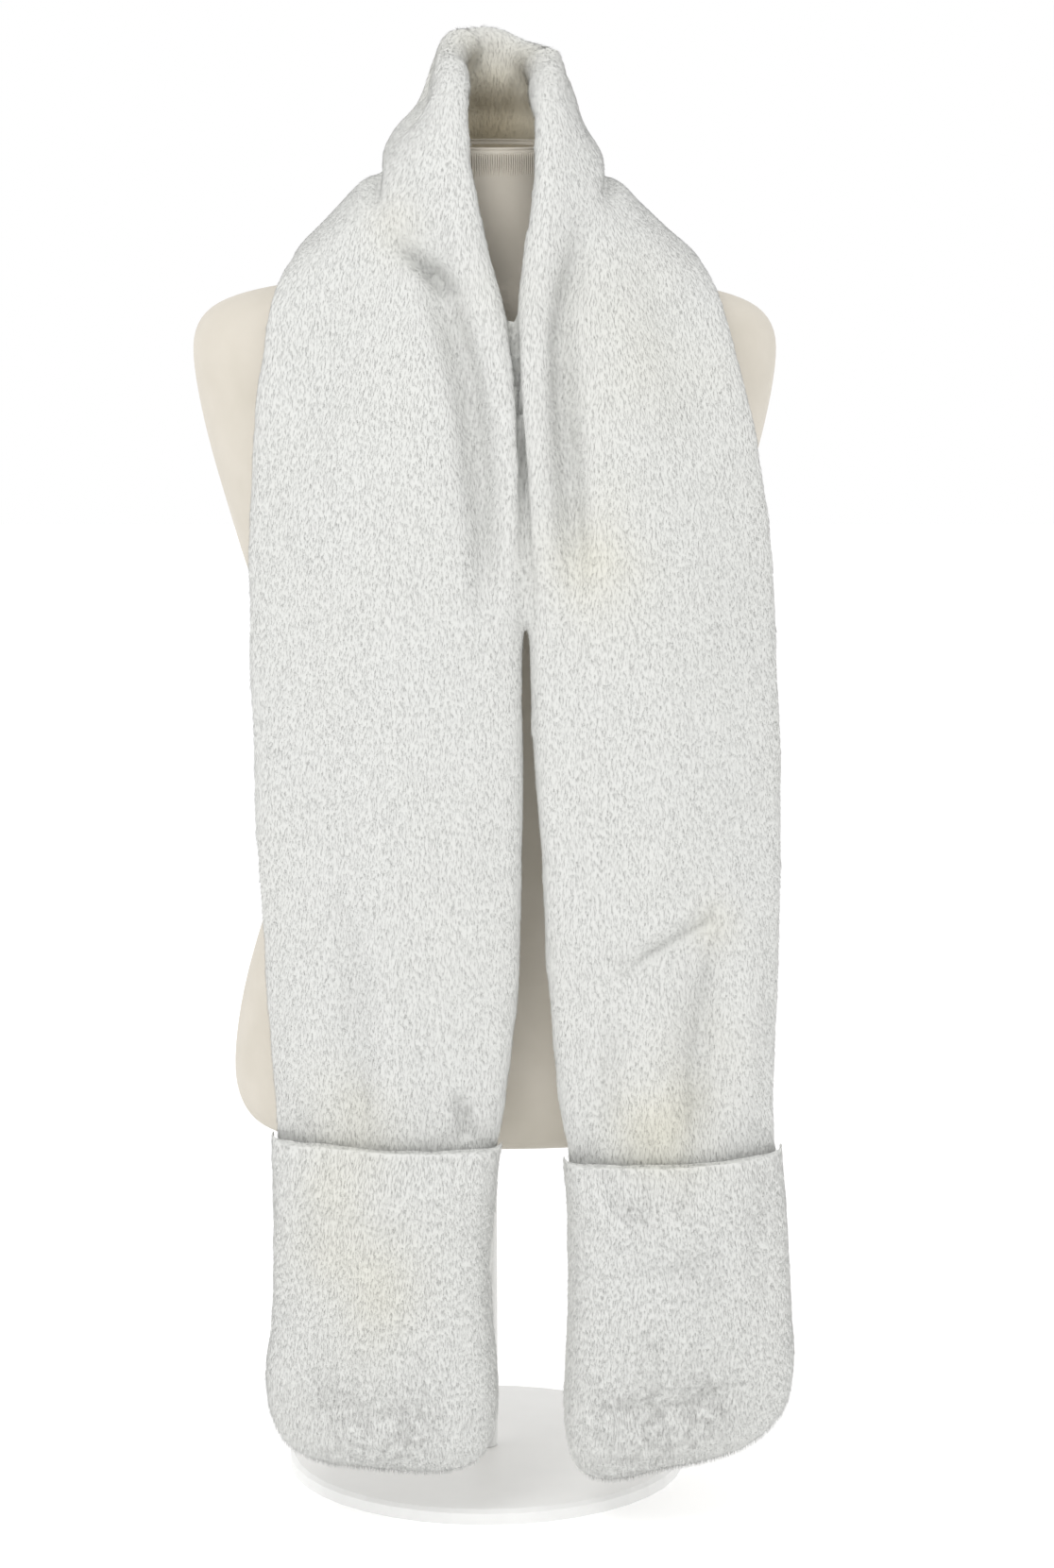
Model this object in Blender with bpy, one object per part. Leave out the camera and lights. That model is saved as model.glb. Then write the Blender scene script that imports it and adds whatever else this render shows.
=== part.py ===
"""A plush pocket scarf draped over a limbless dress form on a pole and base.

Metres, +Z up, the wearer's front towards -Y. The origin is the middle of the base's
underside. The tables below are in millimetres.
"""

import math
from collections import namedtuple

import bmesh
import bpy
from mathutils import Vector

MM = 0.001

# The cloth: two plies of plush, turned and joined along their edges.
PLY = 10.0
PLY_GAP = 0.3
EDGE_ROUND = 13.0
LEAST_SHARE = 0.09
ACROSS = (0, 0.02, 0.07, 0.14, 0.20, 0.27, 0.40, 0.52, 0.62, 0.72, 0.85, 0.93, 0.98, 1)

# The pockets: one ply each, standing off the scarf's face to take a hand.
POCKET_PLY = 10.0
POCKET_ROOM = 13.0
POCKET_TOP_Z = 259.0
POCKET_ACROSS = (0, 0.02, 0.06, 0.12, 0.22, 0.36, 0.50, 0.64, 0.78, 0.88, 0.94, 0.98, 1)
POCKET_PROUD = 2.5

# The dress form and its stand.
NECK_X = 4.0
TORSO_SIDES = 36
TORSO_POWER = 2.25
NECK_FOOT_Z = 805.0
NECK_TILT = 0.065
NECK_TILT_FROM_Z = 850.0
NECK_TILT_FULL_Z = 886.0
RECESS_DEPTH = 4.0
TORSO_BOTTOM_Z = 240.0
SEAT_GAP = 0.3
POLE_RADIUS = 7.5
FLANGE_RADIUS = 30.0
FLANGE_HEIGHT = 5.0
BASE_RADIUS = 135.0
BASE_HEIGHT = 10.0
BASE_BEVEL = 2.5
ROUND_SIDES = 40

# One row for each section across the scarf. The rim is its upper, inner edge, which
# stands round the neck and then hangs at the middle of the chest. The hem is its
# lower, outer edge. The middle of the section is given between them.
Section = namedtuple("Section", "rim middle hem steps")

LEFT_SECTIONS = (
    Section((-40, -133, 43), (-58, -140, 43), (-98, -118, 43), 1),
    Section((-22, -133, 45.5), (-60, -140, 45), (-112, -114, 46), 1),
    Section((-4, -133, 52), (-64, -140, 51), (-126, -111, 55), 1),
    Section((5, -133, 64), (-66, -140, 64), (-136, -109, 68), 1),
    Section((7, -133, 88), (-67, -140, 88), (-141, -108, 88), 1),
    Section((4, -133, 122), (-67, -140, 122), (-137, -108, 122), 1),
    Section((1, -133, 165), (-66, -140, 165), (-133, -108, 165), 1),
    Section((3, -133, 210), (-66, -140, 210), (-133, -108, 210), 1),
    Section((7, -133, 250), (-64, -140, 250), (-134, -108, 250), 1),
    Section((14, -133, 278), (-62, -140, 278), (-135, -107, 278), 1),
    Section((19, -133, 315), (-60, -140, 315), (-137, -107, 315), 1),
    Section((23, -133, 365), (-59, -140, 365), (-141, -106, 365), 1),
    Section((25, -133, 430), (-60, -140, 430), (-145, -104, 430), 1),
    Section((25.5, -133, 520), (-62, -140, 520), (-149, -101, 520), 1),
    Section((24.5, -132, 610), (-63, -139, 606), (-150, -98, 600), 1),
    Section((24, -129, 680), (-63, -135, 666), (-149, -94, 655), 1),
    Section((21.8, -123, 735), (-63, -127, 706), (-147, -90, 684), 1),
    Section((17.5, -114, 780), (-64, -117, 735), (-146, -86, 708), 1),
    Section((7, -102, 818), (-65, -105, 762), (-145, -83, 728), 1),
    Section((-3, -90, 862), (-66, -92, 796), (-143, -80, 748), 1),
    Section((-10, -80, 895), (-66, -79, 826), (-141, -76, 768), 1),
    Section((-16, -62, 926), (-66, -66, 853), (-138, -64, 790), 2),
    Section((-23, -24, 940), (-67, -34, 866), (-125, -34, 811), 2),
    Section((-24, 22, 952), (-67, 8, 874), (-117, 20, 817), 2),
    Section((-19, 61, 964), (-49, 50, 880), (-88, 82, 799), 2),
    Section((-8, 88, 971), (-24, 68, 884), (-45, 100, 797), 2),
)
BACK_SECTION = Section((6, 98, 969), (4, 72, 884), (4, 104, 795), 2)
RIGHT_SECTIONS = (
    Section((22, 88, 963), (33, 68, 881), (54, 100, 795), 2),
    Section((36, 61, 954), (58, 50, 877), (97, 82, 796), 2),
    Section((43, 22, 945), (77, 8, 868), (133, 20, 815), 2),
    Section((44, -24, 934), (83, -34, 861), (145, -36, 806), 2),
    Section((41, -62, 920), (83, -66, 849), (155, -62, 783), 1),
    Section((34, -80, 893), (86, -80, 825), (162, -73, 759), 1),
    Section((30, -90, 860), (91, -92, 795), (167, -79, 738), 1),
    Section((24, -102, 816), (96, -105, 761), (172, -85, 717), 1),
    Section((20, -114, 778), (99, -117, 734), (175, -88, 696), 1),
    Section((22.8, -123, 733), (102, -127, 704), (179, -92, 673), 1),
    Section((25.6, -129, 680), (105, -135, 664), (182, -96, 650), 1),
    Section((27.5, -132, 610), (107, -139, 604), (186, -99, 600), 1),
    Section((32, -133, 520), (110, -140, 520), (190, -102, 520), 1),
    Section((37, -133, 430), (112, -140, 430), (192, -104, 430), 1),
    Section((41, -133, 365), (113, -140, 365), (191, -106, 365), 1),
    Section((44, -133, 315), (114, -140, 315), (188, -107, 315), 1),
    Section((48, -133, 278), (116, -140, 278), (187, -107, 278), 1),
    Section((54, -133, 250), (120, -140, 250), (190, -108, 250), 1),
    Section((57, -133, 210), (124, -140, 210), (193, -108, 210), 1),
    Section((58, -133, 165), (126, -140, 165), (195, -108, 165), 1),
    Section((56, -133, 122), (126, -140, 122), (198, -108, 126), 1),
    Section((54, -133, 80), (126, -140, 82), (200, -108, 94), 1),
    Section((57, -133, 55), (122, -140, 60), (192, -110, 74), 1),
    Section((63, -133, 43), (116, -140, 50), (178, -112, 63), 1),
    Section((73, -133, 38), (112, -140, 44), (160, -116, 55), 1),
    Section((86, -133, 37.5), (112, -140, 41), (140, -124, 49), 1),
)
SECTIONS = LEFT_SECTIONS + (BACK_SECTION,) + RIGHT_SECTIONS
FIRST_RIGHT = len(LEFT_SECTIONS)

# Soft troughs that run along the scarf. Each row is one stretch: the section where it
# begins and ends, where it lies across the width there, half its width as a share of
# the whole, and its depth.
Trough = namedtuple("Trough", "first last at_first at_last half_width depth")

TROUGHS = (
    Trough(15.0, 19.5, 0.18, 0.24, 0.065, 5.5),
    Trough(19.5, 22.5, 0.24, 0.50, 0.075, 4.5),
    Trough(22.5, 24.5, 0.50, 0.46, 0.060, 2.5),
    Trough(29.0, 30.5, 0.46, 0.48, 0.060, 2.5),
    Trough(31.0, 34.0, 0.48, 0.25, 0.075, 4.5),
    Trough(34.0, 38.5, 0.25, 0.17, 0.065, 6.0),
    Trough(8.0, 12.0, 0.62, 0.66, 0.080, 5.0),
    Trough(40.5, 44.5, 0.62, 0.64, 0.080, 5.5),
)
TROUGH_FADE = 1.2

# One row for each ring of the dress form, bottom first: height, half width, and how
# far it reaches to the front and to the back.
Ring = namedtuple("Ring", "z half_width front back")

TORSO_RINGS = (
    Ring(240, 147, 88, 86),
    Ring(243, 156, 97, 95),
    Ring(251, 164, 104, 102),
    Ring(266, 170, 109, 107),
    Ring(288, 171, 110, 109),
    Ring(331, 165, 108, 107),
    Ring(379, 151, 102, 98),
    Ring(430, 133, 94, 84),
    Ring(480, 123, 88, 76),
    Ring(525, 124, 90, 74),
    Ring(570, 138, 100, 78),
    Ring(610, 157, 112, 84),
    Ring(650, 168, 118, 88),
    Ring(686, 179, 110, 89),
    Ring(722, 188, 98, 88),
    Ring(759, 194, 86, 84),
    Ring(778, 191, 78, 80),
    Ring(792, 178, 71, 76),
    Ring(800.5, 150, 66, 73),
    Ring(804, 125, 63, 71),
    Ring(809, 106, 61, 69),
    Ring(818, 87, 59, 66),
    Ring(834, 70, 57, 63),
    Ring(853, 54, 54, 58),
    Ring(872, 47, 51, 54),
    Ring(886, 46, 50, 53),
    Ring(891.5, 45.3, 49, 52),
    Ring(893, 44, 47, 50),
    Ring(893, 41, 44, 47),
)

PLUSH_WHITE = (0.80, 0.80, 0.76, 1)
PLUSH_SHADE = (0.74, 0.74, 0.69, 1)
JERSEY_CREAM = (0.63, 0.56, 0.44, 1)
STAND_WHITE = (0.80, 0.80, 0.79, 1)


def clear_scene():
    for obj in list(bpy.data.objects):
        bpy.data.objects.remove(obj, do_unlink=True)


def material(name, colour, roughness, metallic=0.0):
    made = bpy.data.materials.new(name)
    made.use_nodes = True
    shader = made.node_tree.nodes["Principled BSDF"]
    shader.inputs["Base Color"].default_value = colour
    shader.inputs["Roughness"].default_value = roughness
    shader.inputs["Metallic"].default_value = metallic
    return made


def solid_from_rings(name, rings, cap, finish):
    """A closed mesh through rings with equal numbers of points, capped at both ends."""
    mesh = bmesh.new()
    loops = [[mesh.verts.new(Vector(p) * MM) for p in ring] for ring in rings]
    count = len(loops[0])
    for lower, upper in zip(loops, loops[1:]):
        for i in range(count):
            j = (i + 1) % count
            mesh.faces.new((lower[i], lower[j], upper[j], upper[i]))
    cap(mesh, loops[0])
    cap(mesh, loops[-1])
    bmesh.ops.recalc_face_normals(mesh, faces=mesh.faces)
    bmesh.ops.triangulate(mesh, faces=mesh.faces)
    data = bpy.data.meshes.new(name)
    mesh.to_mesh(data)
    mesh.free()
    data.shade_smooth()
    data.materials.append(finish)
    obj = bpy.data.objects.new(name, data)
    bpy.context.scene.collection.objects.link(obj)
    return obj


def flat_cap(mesh, loop):
    mesh.faces.new(loop)


def wall_cap(mesh, loop):
    """Closes a wall's end: its two skins run out and back in one loop."""
    half = len(loop) // 2
    outer, inner = loop[:half], loop[half:][::-1]
    for i in range(half - 1):
        mesh.faces.new((outer[i], outer[i + 1], inner[i + 1], inner[i]))


def through_points(a, b, c, d, share):
    """A smooth curve from b to c that also minds the points before and after."""
    a, b, c, d = (Vector(p) for p in (a, b, c, d))
    return 0.5 * (
        2 * b
        + (c - a) * share
        + (2 * a - 5 * b + 4 * c - d) * share**2
        + (3 * b - a - 3 * c + d) * share**3
    )


def guide(name, place):
    """The rim, middle or hem line at a place counted in sections."""
    last = len(SECTIONS) - 1
    place = min(max(place, 0.0), float(last))
    whole = min(int(place), last - 1)
    near = [min(max(whole + k, 0), last) for k in (-1, 0, 1, 2)]
    points = [getattr(SECTIONS[k], name) for k in near]
    return through_points(*points, place - whole)


def smooth_step(value):
    value = min(max(value, 0.0), 1.0)
    return value * value * (3 - 2 * value)


def trough_depth(place, across):
    """How far all troughs together press the cloth in at a point."""
    depth = 0.0
    for t in TROUGHS:
        if not t.first - TROUGH_FADE < place < t.last + TROUGH_FADE:
            continue
        along = (place - t.first) / (t.last - t.first)
        middle = t.at_first + (t.at_last - t.at_first) * min(max(along, 0), 1)
        ends = smooth_step((place - t.first) / TROUGH_FADE + 1)
        ends *= smooth_step((t.last - place) / TROUGH_FADE + 1)
        depth = max(depth, t.depth * ends * math.exp(-(((across - middle) / t.half_width) ** 2)))
    return depth


def middle_surface(place, across):
    """A point midway between the plies, before the troughs."""
    rim, middle, hem = (guide(name, place) for name in ("rim", "middle", "hem"))
    return (
        rim * (1 - across) * (1 - 2 * across)
        + middle * 4 * across * (1 - across)
        + hem * across * (2 * across - 1)
    )


def outward(place, across):
    """The cloth's unit normal, away from the wearer."""
    step = 0.01
    low, high = max(across - step, 0.0), min(across + step, 1.0)
    before, after = max(place - step, 0.0), min(place + step, len(SECTIONS) - 1.0)
    along_width = middle_surface(place, high) - middle_surface(place, low)
    along_length = middle_surface(after, across) - middle_surface(before, across)
    return along_length.cross(along_width).normalized()


def section_width(place):
    points = [middle_surface(place, k / 8) for k in range(9)]
    return sum((b - a).length for a, b in zip(points, points[1:]))


def rounding(distance, reach):
    """The share of full thickness that a rounded edge has this far in."""
    inside = min(max(distance / reach, 0.0), 1.0)
    return max(math.sqrt(1 - (1 - inside) ** 2), LEAST_SHARE)


def end_distance(place):
    """How far along the scarf this section is from its nearer end."""
    last = len(SECTIONS) - 1
    end = 0 if place < last / 2 else last
    return (guide("middle", place) - guide("middle", end)).length


def cloth_point(place, across, height):
    """A point at a height over the middle surface, in ply thicknesses."""
    width = section_width(place)
    share = rounding(min(across, 1 - across) * width, EDGE_ROUND)
    share *= rounding(end_distance(place), EDGE_ROUND)
    normal = outward(place, across)
    pressed = middle_surface(place, across) - normal * trough_depth(place, across)
    side = math.copysign(PLY_GAP / 2, height)
    return pressed + normal * (side + (height * PLY - side) * share)


def places():
    """Where the rings are set along the scarf, counted in sections."""
    found = []
    for index, section in enumerate(SECTIONS[:-1]):
        found += [index + k / section.steps for k in range(section.steps)]
    return found + [len(SECTIONS) - 1.0]


def scarf_ply(name, side, finish):
    """One long strip of plush: its seam side at the middle and its pile outside."""
    rings = []
    for place in places():
        pile = [cloth_point(place, across, side) for across in ACROSS]
        seam = [cloth_point(place, across, side * 1e-6) for across in ACROSS]
        rings.append(pile + seam[::-1])
    return solid_from_rings(name, rings, wall_cap, finish)


def pocket_section(place, centre_sag):
    """The pocket's two skins across one section of the scarf."""
    first, last = guide("rim", place), guide("hem", place)
    width = section_width(place)
    end = rounding(end_distance(place) - 1.0, 26.0)
    skins = ([], [])
    for across in POCKET_ACROSS:
        share = rounding(min(across, 1 - across) * width, 18.0)
        face = cloth_point(place, min(max(across, 0.0), 1.0), 1.0)
        stand = 0.4 + POCKET_ROOM * max(share - LEAST_SHARE, 0.0) * max(end - 0.4, 0.0) / 0.6
        ply = max(POCKET_PLY * share * max(end, 0.25), 1.2)
        proud = (across - 0.5) * 2 * POCKET_PROUD
        sideways = (last - first).normalized() * proud
        drop = Vector((0, 0, -centre_sag * math.sin(math.pi * across) ** 2))
        inner = face + sideways + drop + Vector((0, -stand, 0))
        skins[0].append(inner + Vector((0, -ply, 0)))
        skins[1].append(inner)
    return skins[0] + skins[1][::-1]


def pocket(name, rows, sag, finish):
    """A patch of plush on the scarf's face, open at the top. Each row is a place."""
    rings = []
    for place in rows:
        from_mouth = abs(place - rows[-1])
        rings.append(pocket_section(place, sag if from_mouth == 0 else 0.0))
    return solid_from_rings(name, rings, wall_cap, finish)


def torso_ring(ring, drop=0.0):
    """A rounded outline at one height, leaning forward at the neck."""
    lean = NECK_TILT * smooth_step((ring.z - NECK_TILT_FROM_Z) / (NECK_TILT_FULL_Z - NECK_TILT_FROM_Z))
    shift = NECK_X * smooth_step((ring.z - NECK_FOOT_Z) / (NECK_TILT_FROM_Z - NECK_FOOT_Z))
    points = []
    for k in range(TORSO_SIDES):
        angle = 2 * math.pi * k / TORSO_SIDES
        c, s = math.cos(angle), math.sin(angle)
        x = ring.half_width * math.copysign(abs(c) ** (2 / TORSO_POWER), c)
        depth = ring.back if s > 0 else ring.front
        y = depth * math.copysign(abs(s) ** (2 / TORSO_POWER), s)
        points.append((x + shift, y, ring.z - drop + lean * y))
    return points


def dress_form(finish):
    rings = [torso_ring(ring) for ring in TORSO_RINGS]
    rings.append(torso_ring(TORSO_RINGS[-1]._replace(half_width=40, front=43, back=46), RECESS_DEPTH))
    return solid_from_rings("dress_form", rings, flat_cap, finish)


def turned(name, profile, finish):
    """A round solid from rows of radius and height, bottom first."""
    turns = [2 * math.pi * k / ROUND_SIDES for k in range(ROUND_SIDES)]
    rings = [[(r * math.cos(a), r * math.sin(a), z) for a in turns] for r, z in profile]
    return solid_from_rings(name, rings, flat_cap, finish)


def stand(finish):
    base_top = BASE_HEIGHT
    turned(
        "stand_base",
        (
            (BASE_RADIUS, 0.0),
            (BASE_RADIUS, base_top - BASE_BEVEL),
            (BASE_RADIUS - BASE_BEVEL, base_top),
        ),
        finish,
    )
    flange_top = TORSO_BOTTOM_Z - SEAT_GAP
    turned(
        "stand_pole",
        (
            (POLE_RADIUS, base_top + SEAT_GAP),
            (POLE_RADIUS, flange_top - FLANGE_HEIGHT),
            (FLANGE_RADIUS, flange_top - FLANGE_HEIGHT),
            (FLANGE_RADIUS, flange_top),
        ),
        finish,
    )


def pocket_places(first, mouth_z):
    """Sections from the scarf's end up to the pocket's mouth."""
    step = 1 if first == 0 else -1
    place = float(first)
    found = [place + 0.35 * step]
    while guide("middle", place + step).z < mouth_z - 5:
        place += step
        found.append(place)
    low, high = place, place + step
    for _ in range(20):
        half = (low + high) / 2
        if guide("middle", half).z < mouth_z:
            low = half
        else:
            high = half
    return found + [low - 0.08 * step, low]


def main():
    clear_scene()
    plush = material("plush", PLUSH_WHITE, 0.95)
    shade = material("plush_back", PLUSH_SHADE, 0.95)
    jersey = material("jersey", JERSEY_CREAM, 0.85)
    lacquer = material("lacquer", STAND_WHITE, 0.35)
    scarf_ply("scarf_face", 1.0, plush)
    scarf_ply("scarf_back", -1.0, shade)
    pocket("pocket_left", pocket_places(0, POCKET_TOP_Z), 1.5, plush)
    pocket("pocket_right", pocket_places(len(SECTIONS) - 1, POCKET_TOP_Z - 5), 3.0, plush)
    dress_form(jersey)
    stand(lacquer)


main()
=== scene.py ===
"""Looks for an off-white plush pocket scarf on a jersey dress form.

Metres, +Z up, the wearer's front towards -Y. Tables are in millimetres.
"""

import math

import bmesh
import bpy
import numpy as np
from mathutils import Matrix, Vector, noise


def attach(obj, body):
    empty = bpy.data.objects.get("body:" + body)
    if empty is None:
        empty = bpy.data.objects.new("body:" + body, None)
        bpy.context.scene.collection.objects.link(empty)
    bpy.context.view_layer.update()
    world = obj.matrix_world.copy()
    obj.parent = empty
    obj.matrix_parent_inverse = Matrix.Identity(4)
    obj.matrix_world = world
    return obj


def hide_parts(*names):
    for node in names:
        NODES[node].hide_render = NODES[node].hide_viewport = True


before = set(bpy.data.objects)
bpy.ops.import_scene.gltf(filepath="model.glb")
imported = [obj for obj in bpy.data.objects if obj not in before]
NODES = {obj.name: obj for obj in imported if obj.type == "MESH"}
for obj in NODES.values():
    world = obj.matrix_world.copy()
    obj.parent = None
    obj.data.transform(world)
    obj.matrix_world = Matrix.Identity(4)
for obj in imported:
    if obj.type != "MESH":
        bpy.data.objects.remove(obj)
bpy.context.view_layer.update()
MM = 0.001

# Camera, as the photograph was taken: a long lens, a little above the middle.
CAMERA_AT = (0.0278, -2.6174, 0.8849)
CAMERA_DOWN_DEG = 9.0
CAMERA_LENS = 90.75

BODY_VOXEL = 0.0034
BODY_SMOOTHING = 5

# Folds pressed into the plush. Each row is one stroke: the side of the cloth that it
# lies on, its half width, its depth (negative for a raised roll), and the points that
# it follows, as x, y and z.
FOLDS = (
    ("rim_roll", "lip", 17, -7.5, ((-10, -76, 898), (-15, -60, 922), (-18, -20, 940), (-15, 26, 952), (-10, 62, 960), (6, 78, 962), (24, 62, 954), (38, 26, 944), (41, -20, 933), (36, -62, 916), (30, -80, 890))),
    ("back_roll", "in", 18, -6.0, ((-12, 66, 942), (6, 72, 936), (24, 66, 929))),
    ("under_roll", "in", 9, 3.0, ((-30, 10, 912), (-22, 48, 916), (-8, 62, 918), (6, 66, 918), (22, 62, 916), (38, 46, 912), (46, 10, 906))),
    ("collar_side_left", "out", 20, 5.5, ((-40, 44, 934), (-46, 0, 926), (-46, -50, 912))),
    ("collar_side_right", "out", 16, 1.5, ((62, 40, 922), (68, -10, 912), (66, -50, 900))),
    ("collar_crease_left", "out", 5.5, 10.0, ((-78, -78, 876), (-73, -86, 860), (-62, -93, 843), (-52, -97, 830), (-34, -103, 816), (-20, -110, 800))),
    ("collar_crease_left_lip", "out", 11, -5.0, ((-60, -84, 866), (-46, -92, 850), (-34, -98, 838))),
    ("neck_fold_left", "out", 9, 5.0, ((-66, 34, 880), (-70, -10, 878), (-73, -50, 870), (-72, -86, 858))),
    ("roll_trough_left", "out", 11, 9.0, ((-42, -104, 826), (-30, -112, 804), (-19, -120, 778), (-10, -130, 745), (-3, -138, 705), (1, -144, 655), (3, -148, 600))),
    ("roll_left", "out", 13, -5.0, ((-16, -92, 866), (-12, -102, 830), (0, -114, 796), (8, -124, 760), (12, -132, 715), (16, -138, 650))),
    ("neck_fold_right", "out", 9, 5.0, ((74, 34, 878), (80, -10, 878), (84, -50, 870), (82, -84, 860))),
    ("roll_trough_right", "out", 10, 9.5, ((74, -96, 852), (64, -104, 828), (55, -114, 804), (51, -124, 776), (51, -134, 735), (54, -142, 680), (58, -146, 620))),
    ("roll_right", "out", 13, -5.0, ((44, -94, 862), (37, -104, 828), (33, -116, 788), (33, -128, 740), (36, -136, 680))),
    ("centre_seam", "out", 3.6, 8.0, ((17, -112, 800), (21, -122, 760), (24, -130, 719), (25, -137, 678), (27, -142, 631), (29, -145, 570))),
    ("shoulder_hollow_left", "out", 26, 3.4, ((-96, -92, 800), (-104, -104, 760), (-106, -116, 712))),
    ("shoulder_hollow_right", "out", 26, 3.0, ((118, -92, 800), (130, -104, 752), (134, -116, 700))),
    ("shoulder_fold_right", "out", 12, 2.6, ((96, -84, 858), (108, -92, 826), (116, -100, 790))),
    ("hang_trough_left", "out", 9, 4.6, ((-89, -146, 404), (-88, -146, 366), (-84, -147, 316), (-78, -147, 262))),
    ("hang_roll_left", "out", 14, -2.6, ((-64, -150, 396), (-60, -150, 340), (-55, -150, 270))),
    ("hang_roll_left_side", "out", 13, -2.0, ((-112, -138, 390), (-110, -138, 330), (-106, -139, 270))),
    ("hang_crease_left", "out", 6, 3.6, ((-17, -150, 292), (-8, -149, 262))),
    ("pull_right", "out", 5, 3.8, ((92, -150, 374), (112, -149, 387), (130, -145, 396), (143, -141, 402), (152, -137, 414))),
    ("pull_right_lip", "out", 9, -2.0, ((104, -150, 398), (124, -147, 408), (138, -143, 416))),
    ("hang_trough_right", "out", 9, 5.6, ((151, -138, 394), (144, -141, 354), (139, -143, 305), (141, -142, 256))),
    ("hang_roll_right", "out", 16, -3.4, ((116, -150, 366), (111, -150, 310), (112, -150, 262))),
    ("hang_roll_right_side", "out", 12, -2.6, ((172, -130, 380), (170, -131, 320), (170, -132, 262))),
    ("hang_soft_right", "out", 8, 3.2, ((84, -151, 340), (80, -151, 300), (82, -151, 262))),
    ("panel_wave_left", "out", 34, 2.0, ((-112, -138, 560), (-104, -140, 500), (-108, -138, 440))),
    ("panel_wave_right", "out", 30, 2.2, ((76, -150, 560), (84, -150, 500), (92, -150, 430))),
)
POCKET_FOLDS = (
    ("left_fold_side", "out", 12, 2.6, ((-118, -148, 236), (-112, -152, 200), (-118, -148, 160))),
    ("left_fold_low", "out", 12, 2.8, ((-104, -158, 96), (-78, -166, 84), (-44, -170, 88))),
    ("left_fold_mid", "out", 14, 2.0, ((-60, -172, 196), (-48, -173, 160), (-52, -172, 124))),
    ("left_fold_high", "out", 9, 2.2, ((-96, -160, 214), (-70, -170, 206), (-46, -173, 208))),
    ("left_mouth_dip", "out", 9, 1.8, ((-70, -172, 252), (-66, -173, 226))),
    ("right_gather_a", "out", 6, 3.0, ((80, -170, 252), (83, -172, 232), (88, -172, 214))),
    ("right_gather_b", "out", 6, 2.4, ((108, -174, 250), (106, -174, 232))),
    ("right_gather_c", "out", 7, 3.4, ((140, -168, 254), (134, -170, 234), (128, -171, 216))),
    ("right_gather_d", "out", 6, 2.2, ((164, -158, 258), (158, -161, 240))),
    ("right_fold_mid", "out", 10, 2.6, ((98, -173, 186), (120, -173, 178), (146, -167, 184))),
    ("right_fold_low", "out", 9, 3.0, ((84, -172, 96), (112, -173, 90), (146, -166, 98), (170, -156, 100))),
    ("right_fold_side", "out", 12, 2.4, ((182, -148, 226), (176, -152, 186), (184, -146, 146))),
)

# How much deeper the folds are pressed than the pile over them shows.
FOLD_GAIN = 1.6

# Places where the whole thickness of cloth is carried along: centre, reach and shift.
CARRIED = (
    ("back_corner_left", (-24, 76, 952), 30, (-3, 8, 2)),
    ("back_corner_right", (40, 76, 946), 30, (4, 8, 1)),
)

# Marks in the pile, as centre, reach and strength: creamy patches, and painted shade,
# greyer in creases, in the gathers at the pocket mouths and low on the pockets.
WARM_AND_SHADE_SPOTS = (
    ((65, -140, 652), 34, 0.75),
    ((112, -112, 776), 46, 0.40),
    ((-58, -93, 842), 18, 0.50),
    ((-84, -150, 276), 26, 0.80),
    ((138, -143, 300), 26, 1.00),
    ((108, -150, 268), 28, 0.80),
    ((150, -140, 400), 14, 0.60),
    ((-98, -158, 212), 30, 0.75),
    ((-66, -170, 166), 28, 0.55),
    # Painted shade: the tan low inside the back of the collar, where the cavity is in shade and takes light
    # bounced off the form.
    ((6, 66, 904), 46, 1.00),
    ((8, -100, 800), 20, 0.30),
)
# Painted shade: greyer pile in creases, in the gathers at the pocket mouths and under the pockets' feet.
PILE_SHADE_SPOTS = (
    ((98, -172, 222), 9, 0.9),
    ((137, -170, 181), 12, 0.6),
    ((108, -172, 131), 10, 0.4),
    ((146, -166, 94), 16, 0.9),
    ((112, -172, 92), 14, 0.6),
    ((80, -170, 94), 10, 0.5),
    ((178, -150, 226), 14, 0.5),
    ((-98, -158, 96), 14, 0.6),
    ((-42, -170, 84), 16, 0.6),
    ((-70, -166, 52), 40, 0.7),
    ((110, -166, 46), 50, 0.7),
    ((-14, -150, 280), 9, 0.7),
    ((88, -150, 376), 7, 0.5),
)

# Painted shade: a darker tan on the inner face of the collar, deepest low at its back, where the cavity above the
# neck is in shade.
INNER_COLLAR_SHADE_SPOTS = (
    ((6, 66, 898), 34, 0.95),
    ((-32, 40, 898), 20, 0.5),
    ((46, 36, 896), 20, 0.5),
)

# The mouth of each pocket leans in towards the panel behind it.
MOUTH_DEPTH = 30
MOUTH_LEAN = 7.5

# Pile strands to the square metre, and a strand's thickness, width and length.
SCARF_DENSITY = 330000
POCKET_DENSITY = 400000
STRAND_SIZE = (0.16, 0.32, 3.4)
COLLAR_SPLIT_Z = 0.735
COLLAR_SPLIT_X = 0.022

# The neck of the form, at its ribbed edge: centre, half width, front and back.
NECK_CENTRE_X = 4.0
NECK_POWER = 2.25
NECK_LEAN = 0.065
RIB_COUNT = 210
RIB_Z = 880.5
RIB_HALF_SIZES = (46.2, 50.2, 53.2)
RIM_HALF_SIZES = (43.0, 46.0, 49.0)
CAP_HALF_SIZES = (39.5, 42.5, 45.5)


# Meshes.


def object_from_mesh(name, data):
    obj = bpy.data.objects.new(name, data)
    bpy.context.scene.collection.objects.link(obj)
    return obj


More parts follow.
